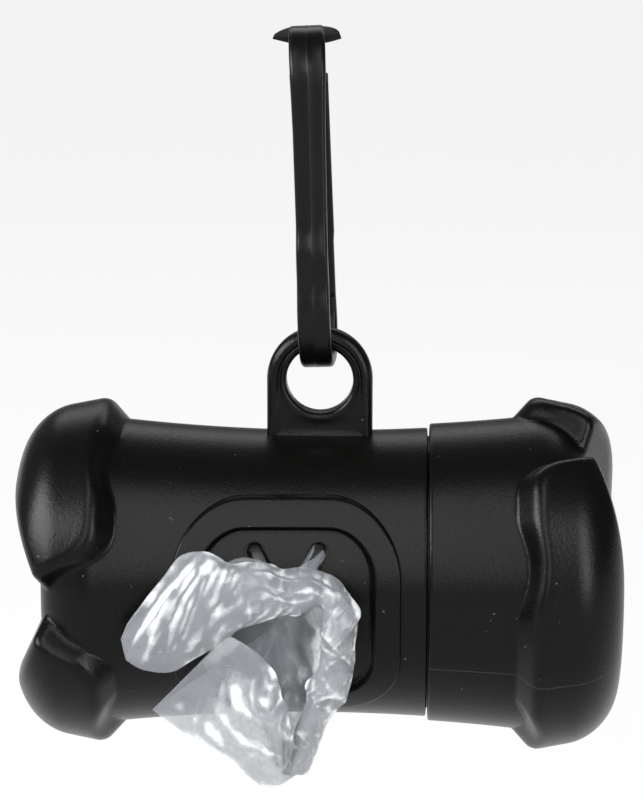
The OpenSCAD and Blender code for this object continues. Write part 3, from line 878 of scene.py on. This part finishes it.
# The film seen through the mouth, the hump behind the cuff's top, and the strand in the slot
INSIDE = (
    ((-12.0, 21.0, 0.0), (1.5, 21.0, 1.5)),
    ((-11.5, 21.0, -4.0), (2.0, 21.0, -2.5)),
    ((-10.0, 21.5, -8.0), (1.5, 21.0, -8.0)),
    ((-8.0, 22.0, -12.0), (1.0, 21.5, -12.0)),
    ((-6.5, 22.0, -16.0), (0.0, 22.0, -17.0)),
    ((-5.0, 22.5, -20.5), (-2.0, 22.5, -20.5)))
HUMP = (
    ((-14.0, 21.5, 4.5), (-12.5, 22.0, 1.5)),
    ((-12.0, 21.0, 6.5), (-11.5, 22.0, 1.5)),
    ((-9.5, 21.0, 7.5), (-9.0, 22.0, 1.5)),
    ((-7.0, 21.0, 7.0), (-6.5, 22.0, 2.0)),
    ((-4.0, 21.0, 5.5), (-4.0, 22.0, 2.0)))
STRAND = (
    ((0.9, 17.5, 7.5), (1.5, 17.5, 7.0)),
    ((0.2, 19.4, 7.1), (1.0, 19.6, 6.5)),
    ((-0.9, 21.3, 6.9), (0.4, 21.6, 6.2)),
    ((-2.2, 22.9, 6.6), (0.4, 23.3, 5.6)))
# How far the cuff, the inside and the hump stand out from where they are drawn
CUFF_MOVE = (0, 1.2, 0.6)
INSIDE_MOVE = (0, 1.7, 0)
HUMP_MOVE = (0, 0.8, 0)
# The width of the facets of crushed film and how far they stand out
FACETS = ((4.4, 0.60), (2.0, 0.30), (1.0, 0.05))
CELLS = 64


def smooth_run(points, count):
    """A smooth run of places through the points given, evenly spread between them."""
    points = np.array(points, float)
    padded = np.concatenate([[2 * points[0] - points[1]], points, [2 * points[-1] - points[-2]]])
    at = np.linspace(0, len(points) - 1, count)
    k = np.minimum(at.astype(int), len(points) - 2)
    t = (at - k).reshape((-1,) + (1,) * (points.ndim - 1))
    a, b, c, d = (padded[k + n] for n in range(4))
    return b + 0.5 * t * (c - a + t * (2 * a - 5 * b + 4 * c - d + t * (3 * (b - c) + d - a)))


def facets(u, v, seed):
    """Height from -1 to 1 of the flat facets of crushed film, which meet in sharp creases, with
    a facet in about each unit of the two coordinates."""
    rng = np.random.default_rng(seed)
    heights = rng.uniform(-1, 1, (CELLS, CELLS))
    phase = rng.uniform(0, 6, 2)
    a = u + 0.4 * v + 0.35 * np.sin(1.2 * v + phase[0])
    b = v + 0.35 * np.sin(1.1 * u + phase[1])
    i = np.floor(a).astype(int)
    j = np.floor(b).astype(int)
    s = a - i
    t = b - j
    near = heights[i % CELLS, j % CELLS]
    far = heights[(i + 1) % CELLS, (j + 1) % CELLS]
    beside = np.where(s > t, heights[(i + 1) % CELLS, j % CELLS], heights[i % CELLS, (j + 1) % CELLS])
    return near + np.maximum(s, t) * (beside - near) + np.minimum(s, t) * (far - beside)


def crumple(places, seed):
    """Depth of large facets with smaller ones on them."""
    return sum(height * facets(places[..., 0] / size, places[..., 2] / size, seed + k)
               for k, (size, height) in enumerate(FACETS))


def sheet_normals(places):
    """Unit normals of a grid of places."""
    down = np.gradient(places, axis=0)
    over = np.gradient(places, axis=1)
    normal = np.cross(down, over)
    return normal / np.maximum(np.linalg.norm(normal, axis=-1, keepdims=True), 1e-9)


def near_mean(values, reach):
    """The mean of each value and its neighbours, up to so many rows and columns away."""
    for axis, steps in enumerate(reach):
        last = values.shape[axis] - 1
        values = sum(values.take(np.clip(np.arange(last + 1) + k, 0, last), axis)
                     for k in range(-steps, steps + 1)) / (2 * steps + 1)
    return values


def film_grid(name, places, push, layers, reach):
    """A layer of the film from its smooth places and the depth of its creases. The marks say how sharply it
    is creased, which later paints highlights along the creases, and how many layers lie there, which makes
    the film more opaque; the film in the mouth is given none, as painted shade."""
    moved = places + sheet_normals(places) * push[..., None]
    marks = {"crease": np.clip(np.abs(push - near_mean(push, reach)) / 0.10 - 0.25, 0, 1), "layers": layers}
    return folded_grid(name, at_bone(moved[..., 0], moved[..., 1], moved[..., 2]), marks, 32)


def between(edges, rows):
    """Places on straight lines from one edge to the other, and their shares of the way."""
    share = np.linspace(0, 1, rows)[:, None, None]
    return edges[None, :, 0] + (edges[None, :, 1] - edges[None, :, 0]) * share, share[..., 0]


cuff_edges = smooth_run(CUFF, FILM_COLUMNS) + CUFF_MOVE
outer = cuff_edges[:, 0]
rim = cuff_edges[:, 1]
bulge = smooth_run(BULGE, FILM_COLUMNS)
slot_way = np.array((math.cos(SLOT_TURN), math.sin(SLOT_TURN)))
slot_off = np.array((-slot_way[1], slot_way[0]))
aside = np.arctan2(outer[:, 2] - SLOT_UP, outer[:, 0] - PANEL_X) - SLOT_TURN
neck_flat = (NECK_AT + np.cos(aside)[:, None] * slot_way * NECK_REACH
             + np.sin(aside)[:, None] * slot_off * NECK_HALF)
film_rows = []
for front in np.linspace(NECK_IN, NECK_OUT, NECK_ROWS):
    gathered = 1 - GATHER * np.clip((front - GATHER_FROM) / (NECK_OUT - GATHER_FROM), 0, 1)
    neck = NECK_AT + (neck_flat - NECK_AT) * gathered
    film_rows.append(np.stack([neck[:, 0], np.full(FILM_COLUMNS, front), neck[:, 1]], 1))
neck_top = film_rows[-1]
for t in np.linspace(0, 1, SPREAD_ROWS + 2)[1:-1]:
    spread = neck_top + (outer - neck_top) * t
    spread[:, 1] = NECK_OUT + (outer[:, 1] - NECK_OUT) * t ** 2
    film_rows.append(spread)
for t in np.linspace(0, 1, FRONT_ROWS):
    place = outer + (rim - outer) * t
    place[:, 1] += bulge * np.sin(math.pi * t) ** 0.8
    film_rows.append(place)
for t in np.linspace(0, 1, TURNED_ROWS + 1)[1:]:
    place = rim + (outer - rim) * TURNED_SHARE * t
    place[:, 1] -= TURNED_BACK * math.sin(t * math.pi / 2)
    film_rows.append(place)
cuff_places = np.array(film_rows)

# Where the left flap's folds fan out from, and the band's middle and width as shares of the
# way round the cuff
FAN_X = -2.4
FAN_UP = 28
BAND_AT = 0.32
BAND_W = 0.06


def flap_folds(places, edge_share):
    """Long folds that fan out from above and run down the left flap to its lower edge."""
    across = places[..., 0] - FAN_X
    up = places[..., 2] - FAN_UP
    fan = np.arctan2(across, -up)
    far = np.hypot(across, up)
    reach = np.clip((-places[..., 0] - 8) / 4, 0, 1)
    reach = reach * np.clip(1.5 - 1.5 * edge_share, 0.15, 1)
    return reach * (0.6 * facets(fan / 0.07, far / 9, 3) + 0.16 * facets(fan / 0.03, far / 5, 4))


def band_folds(edge_share, around):
    """Folds along the band of film at the cuff's top."""
    top = np.clip(1.6 - np.abs(around - BAND_AT) / BAND_W, 0, 1)
    return top * np.clip(3 - 4 * edge_share, 0.1, 1) * 0.5 * facets(around * 14, edge_share * 4.5, 9)


front_from = NECK_ROWS + SPREAD_ROWS
front_to = front_from + FRONT_ROWS
around_share = np.broadcast_to(np.linspace(0, 1, FILM_COLUMNS), cuff_places.shape[:2])
front_rows = np.zeros(len(cuff_places))
front_rows[front_from:front_to] = np.linspace(0, 1, FRONT_ROWS)
edge_share = np.broadcast_to(front_rows[:, None], cuff_places.shape[:2])
on_front = np.clip(np.minimum(edge_share, 1 - edge_share) * 6, 0, 1)
out_of_slot = np.clip((cuff_places[..., 1] - NECK_OUT + 0.1) / 1.5, 0, 1)
push = (crumple(cuff_places, 5) * out_of_slot * np.clip((cuff_places[..., 0] + 20) / 16, 0.3, 1.4)
        + (flap_folds(cuff_places, edge_share) + band_folds(edge_share, around_share)) * on_front)
push = push * np.clip((1 - around_share) / 0.07, 0.1, 1)
# The lower flap is one thin layer, and the neck and the turned rim hardly add to what lies there
layer_count = np.where(around_share > 0.70, 0.35, 1.0) * np.clip(edge_share * 7, 0.35, 1)
layer_count[:front_from] = 0.1
layer_count[front_to:] = 0.3
cuff = film_grid("bag_film", cuff_places, push, layer_count, (8, 2))

inside_places, share = between(smooth_run(INSIDE, 110) + INSIDE_MOVE, 120)
inside_folds = facets(share * 7, inside_places[..., 2] / 14, 12) * 1.1
inside_places[..., 1] += inside_folds * np.clip(2 - inside_places[..., 2], 0, 6) / 6
# The film seen through the mouth is given no layers, so it is more see-through and darker over the black
# moulding: painted shade for the shade inside the mouth.
inside = film_grid("bag_back", inside_places, crumple(inside_places, 11) * 0.4, 0.0, (6, 3))

hump_places, share = between(smooth_run(HUMP, 90) + HUMP_MOVE, 44)
hump_places[..., 1] += 0.8 * np.sin(share * math.pi)
hump = film_grid("bag_hump", hump_places, crumple(hump_places, 17) * 0.5, 0.1, (4, 3))

strand_places, share = between(smooth_run(STRAND, 40), 14)
strand = film_grid("bag_strand", strand_places, crumple(strand_places * 2, 23) * 0.4, 0.8, (2, 2))

# The film's own grey, and the white of the painted highlights along its creases
FILM_FLAT_GREY = (0.25, 0.265, 0.285, 1)
CREASE_HIGHLIGHT_WHITE = (0.87, 0.89, 0.90, 1)
film_paint = Paint("crushed_film", Roughness=0.22, IOR=1.5)
fog = film_paint.noise(4, 3.0)
fine = film_paint.noise(0.6, 4.0, 0.6)
creased = film_paint.node("ShaderNodeAttribute", {"attribute_name": "crease"}, {}, "Fac")
doubled = film_paint.node("ShaderNodeAttribute", {"attribute_name": "layers"}, {}, "Fac")
# Along its sharpest creases the film is painted lighter and more opaque: a painted highlight for the light
# that the creases catch.
crease_highlight = creased * (0.4 + fine)
film_paint.set(Base_Color=film_paint.mix(crease_highlight, FILM_FLAT_GREY, CREASE_HIGHLIGHT_WHITE),
               Alpha=0.10 + doubled * 0.27 + fog * 0.22 + crease_highlight * 0.35)
film_paint.bump(fine, 0.03)
for layer in (cuff, inside, hump, strand):
    dress(layer, film_paint)
bpy.ops.object.select_all(action="DESELECT")
for layer in (inside, hump, strand, cuff):
    layer.select_set(True)
bpy.context.view_layer.objects.active = cuff
bpy.ops.object.join()
wall = cuff.modifiers.new("wall", "SOLIDIFY")
wall.thickness = FILM_T * MM
wall.offset = 0
bpy.ops.object.modifier_apply(modifier=wall.name)
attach(cuff, "bag")
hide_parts("bag_end")

# Floor and light: a plain pale floor under soft studio light. The floor is white to the
# camera and in reflections, and keeps the object's shadow.
FLOOR_DROP = 90
FLOOR_WHITE = 0.88
bpy.ops.mesh.primitive_plane_add(size=40, location=(0, 0, BONE.z - FLOOR_DROP * MM))
floor = bpy.context.object
floor_paint = Paint("pale_floor", Base_Color=(0.8, 0.8, 0.8, 1), Roughness=0.9)
seen = [floor_paint.node("ShaderNodeLightPath", {}, {}, ray)
        for ray in ("Is Camera Ray", "Is Glossy Ray", "Is Transmission Ray")]
seen_white = seen[0] + seen[1] + seen[2] > 0.5
white = floor_paint.node("ShaderNodeEmission", {}, {"Color": (1, 1, 1, 1), "Strength": 1.0})
plain = Field(floor_paint, floor_paint.shader.outputs[0])
shaded = floor_paint.node("ShaderNodeMixShader", {}, {0: seen_white * FLOOR_WHITE, 1: plain, 2: white})
floor_paint.tree.links.new(shaded.socket, floor_paint.tree.nodes["Material Output"].inputs["Surface"])
dress(floor, floor_paint)

# Each lamp: its name, place and size in metres, and power in watts
LAMPS = (("key", (0.0, -0.66, 0.52), (0.35, 1.25), 5.4), ("left", (-0.63, -0.27, 0.34), (0.7, 0.4), 11.0),
         ("right", (0.54, -0.52, 0.22), (0.24, 0.65), 4.4), ("behind", (0.0, 0.75, 0.42), (0.8, 0.3), 1.0))
WORLD_LIGHT = 0.12
for name, place, size, power in LAMPS:
    bpy.ops.object.light_add(type="AREA", location=place)
    lamp = bpy.context.object
    lamp.name = name
    lamp.data.shape = "RECTANGLE"
    lamp.data.size, lamp.data.size_y = size
    lamp.data.energy = power
    lamp.rotation_euler = (BONE - Vector(place)).to_track_quat("-Z", "Y").to_euler()
world = bpy.context.scene.world or bpy.data.worlds.new("World")
bpy.context.scene.world = world
world.use_nodes = True
world.node_tree.nodes["Background"].inputs["Color"].default_value = (1, 1, 1, 1)
world.node_tree.nodes["Background"].inputs["Strength"].default_value = WORLD_LIGHT
